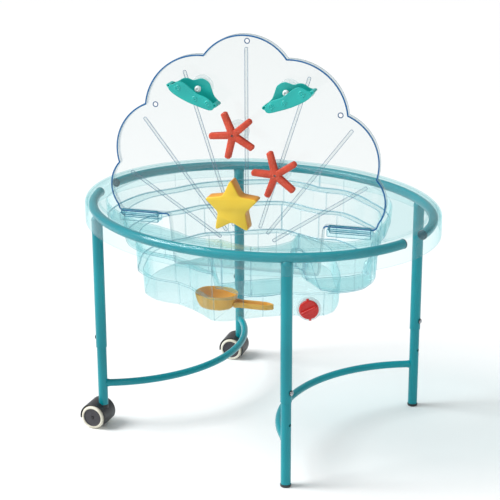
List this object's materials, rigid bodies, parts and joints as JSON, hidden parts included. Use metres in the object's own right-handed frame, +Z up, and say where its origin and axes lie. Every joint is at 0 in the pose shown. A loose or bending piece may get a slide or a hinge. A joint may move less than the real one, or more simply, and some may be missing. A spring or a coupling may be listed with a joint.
{
  "type": "sand and water table",
  "caption": "Oval clear plastic play tub with terraced basin and pockets on a tubular steel stand with casters, a clear scalloped activity panel, hanging cups and spinning toys.",
  "frame": {"origin": "on the floor, at the centre of the square of legs and under the centre of the oval rim", "axes": "+Z up, +X from the caster legs to the fixed legs along the rim's long axis, +Y from the front legs to the back legs"},
  "size_m": [0.971, 0.823, 1.057],
  "materials": {
    "paint": "glossy teal powder coat",
    "tub_clear": "clear, faintly blue",
    "panel_clear": "clear, blue at the edges",
    "fitting_clear": "clear",
    "black_plastic": "satin black",
    "cap_dark": "satin dark teal",
    "tread": "matt off-white",
    "bolt_metal": "bright",
    "drain_red": "glossy red",
    "cup_teal": "satin teal",
    "starfish_orange": "satin orange-red",
    "star_yellow": "satin yellow",
    "scoop_orange": "satin orange-yellow"
  },
  "bodies": {
    "stand_and_tub": {"tub": "tub_clear", "drain_ring": "fitting_clear", "ring_tube_front": "paint", "ring_tube_back": "paint", "ring_tube_front_cap_start": "cap_dark", "ring_tube_front_cap_end": "cap_dark", "ring_tube_back_cap_start": "cap_dark", "ring_tube_back_cap_end": "cap_dark", "leg_upper_front_left": "paint", "leg_upper_back_left": "paint", "leg_upper_front_right": "paint", "leg_upper_back_right": "paint", "bolt_front_left": "bolt_metal", "bolt_back_left": "bolt_metal", "bolt_front_right": "bolt_metal", "bolt_back_right": "bolt_metal", "bolt_washer_front_left": "black_plastic", "bolt_washer_back_left": "black_plastic", "bolt_washer_front_right": "black_plastic", "bolt_washer_back_right": "black_plastic", "panel_bracket_left": "fitting_clear", "panel_bracket_right": "fitting_clear", "bracket_screw_left": "fitting_clear", "bracket_screw_right": "fitting_clear"},
    "left_frame": {"leg_lower_front_left": "paint", "leg_lower_back_left": "paint", "stretcher_left": "paint", "caster_socket_front_left": "black_plastic", "caster_socket_back_left": "black_plastic"},
    "right_frame": {"leg_lower_front_right": "paint", "leg_lower_back_right": "paint", "stretcher_right": "paint", "foot_cap_front_right": "black_plastic", "foot_cap_back_right": "black_plastic"},
    "caster_front_left": {"caster_housing_front_left": "black_plastic"},
    "caster_back_left": {"caster_housing_back_left": "black_plastic"},
    "wheel_near_front_left": {"caster_hub_near_front_left": "black_plastic", "caster_tread_near_front_left": "tread"},
    "wheel_far_front_left": {"caster_hub_far_front_left": "black_plastic", "caster_tread_far_front_left": "tread"},
    "wheel_near_back_left": {"caster_hub_near_back_left": "black_plastic", "caster_tread_near_back_left": "tread"},
    "wheel_far_back_left": {"caster_hub_far_back_left": "black_plastic", "caster_tread_far_back_left": "tread"},
    "drain_knob": {"drain_knob": "drain_red"},
    "panel": {"panel": "panel_clear", "peg_cloud_left": "fitting_clear", "peg_cloud_right": "fitting_clear", "peg_starfish_upper": "fitting_clear", "peg_starfish_lower": "fitting_clear", "peg_star_cup": "fitting_clear", "peg_cap_left": "fitting_clear", "peg_cap_right": "fitting_clear"},
    "cloud_cup_left": {"cloud_cup_left": "cup_teal"},
    "cloud_cup_right": {"cloud_cup_right": "cup_teal"},
    "starfish_upper": {"starfish_upper": "starfish_orange"},
    "starfish_lower": {"starfish_lower": "starfish_orange"},
    "star_cup": {"star_cup": "star_yellow"},
    "scoop": {"scoop": "scoop_orange"}
  },
  "joints": [
    {"name": "left_frame_height", "type": "slide", "parent": "stand_and_tub", "child": "left_frame", "axis": [0, 0, 1], "range_m": [0, 0.085]},
    {"name": "right_frame_height", "type": "slide", "parent": "stand_and_tub", "child": "right_frame", "axis": [0, 0, 1], "range_m": [0, 0.085]},
    {"name": "caster_swivel_front_left", "type": "hinge", "parent": "left_frame", "child": "caster_front_left", "pos_m": [-0.2984, -0.3006, 0.05], "axis": [0, 0, 1], "continuous": true},
    {"name": "caster_swivel_back_left", "type": "hinge", "parent": "left_frame", "child": "caster_back_left", "pos_m": [-0.2984, 0.3006, 0.05], "axis": [0, 0, 1], "continuous": true},
    {"name": "wheel_roll_near_front_left", "type": "hinge", "parent": "caster_front_left", "child": "wheel_near_front_left", "pos_m": [-0.3157, -0.30556, 0.032], "axis": [0.2756, -0.9613, 0], "continuous": true},
    {"name": "wheel_roll_far_front_left", "type": "hinge", "parent": "caster_front_left", "child": "wheel_far_front_left", "pos_m": [-0.3157, -0.30556, 0.032], "axis": [0.2756, -0.9613, 0], "continuous": true},
    {"name": "wheel_roll_near_back_left", "type": "hinge", "parent": "caster_back_left", "child": "wheel_near_back_left", "pos_m": [-0.31531, 0.29444, 0.032], "axis": [0.342, -0.9397, 0], "continuous": true},
    {"name": "wheel_roll_far_back_left", "type": "hinge", "parent": "caster_back_left", "child": "wheel_far_back_left", "pos_m": [-0.31531, 0.29444, 0.032], "axis": [0.342, -0.9397, 0], "continuous": true},
    {"name": "drain_turn", "type": "hinge", "parent": "stand_and_tub", "child": "drain_knob", "pos_m": [0.23694, -0.11813, 0.396], "axis": [0.5426, -0.84, 0], "range_deg": [0, 90]},
    {"name": "panel_lift", "type": "slide", "parent": "stand_and_tub", "child": "panel", "axis": [0, 0, 1], "range_m": [0, 0.2]},
    {"name": "cloud_cup_left_tip", "type": "hinge", "parent": "panel", "child": "cloud_cup_left", "pos_m": [-0.07313, -0.14775, 0.922], "axis": [0.3567, -0.9342, 0], "range_deg": [-45, 45]},
    {"name": "cloud_cup_right_tip", "type": "hinge", "parent": "panel", "child": "cloud_cup_right", "pos_m": [0.13613, -0.06785, 0.924], "axis": [0.3567, -0.9342, 0], "range_deg": [-45, 45]},
    {"name": "starfish_upper_spin", "type": "hinge", "parent": "panel", "child": "starfish_upper", "pos_m": [0.01375, -0.11458, 0.814], "axis": [0.3567, -0.9342, 0], "continuous": true},
    {"name": "starfish_lower_spin", "type": "hinge", "parent": "panel", "child": "starfish_lower", "pos_m": [0.11558, -0.07569, 0.72], "axis": [0.3567, -0.9342, 0], "continuous": true},
    {"name": "star_cup_turn", "type": "hinge", "parent": "panel", "child": "star_cup", "pos_m": [0.00628, -0.11743, 0.624], "axis": [0.3567, -0.9342, 0], "continuous": true},
    {"name": "scoop_lift", "type": "slide", "parent": "stand_and_tub", "child": "scoop", "axis": [0, 0, 1], "range_m": [0, 0.12]}
  ]
}
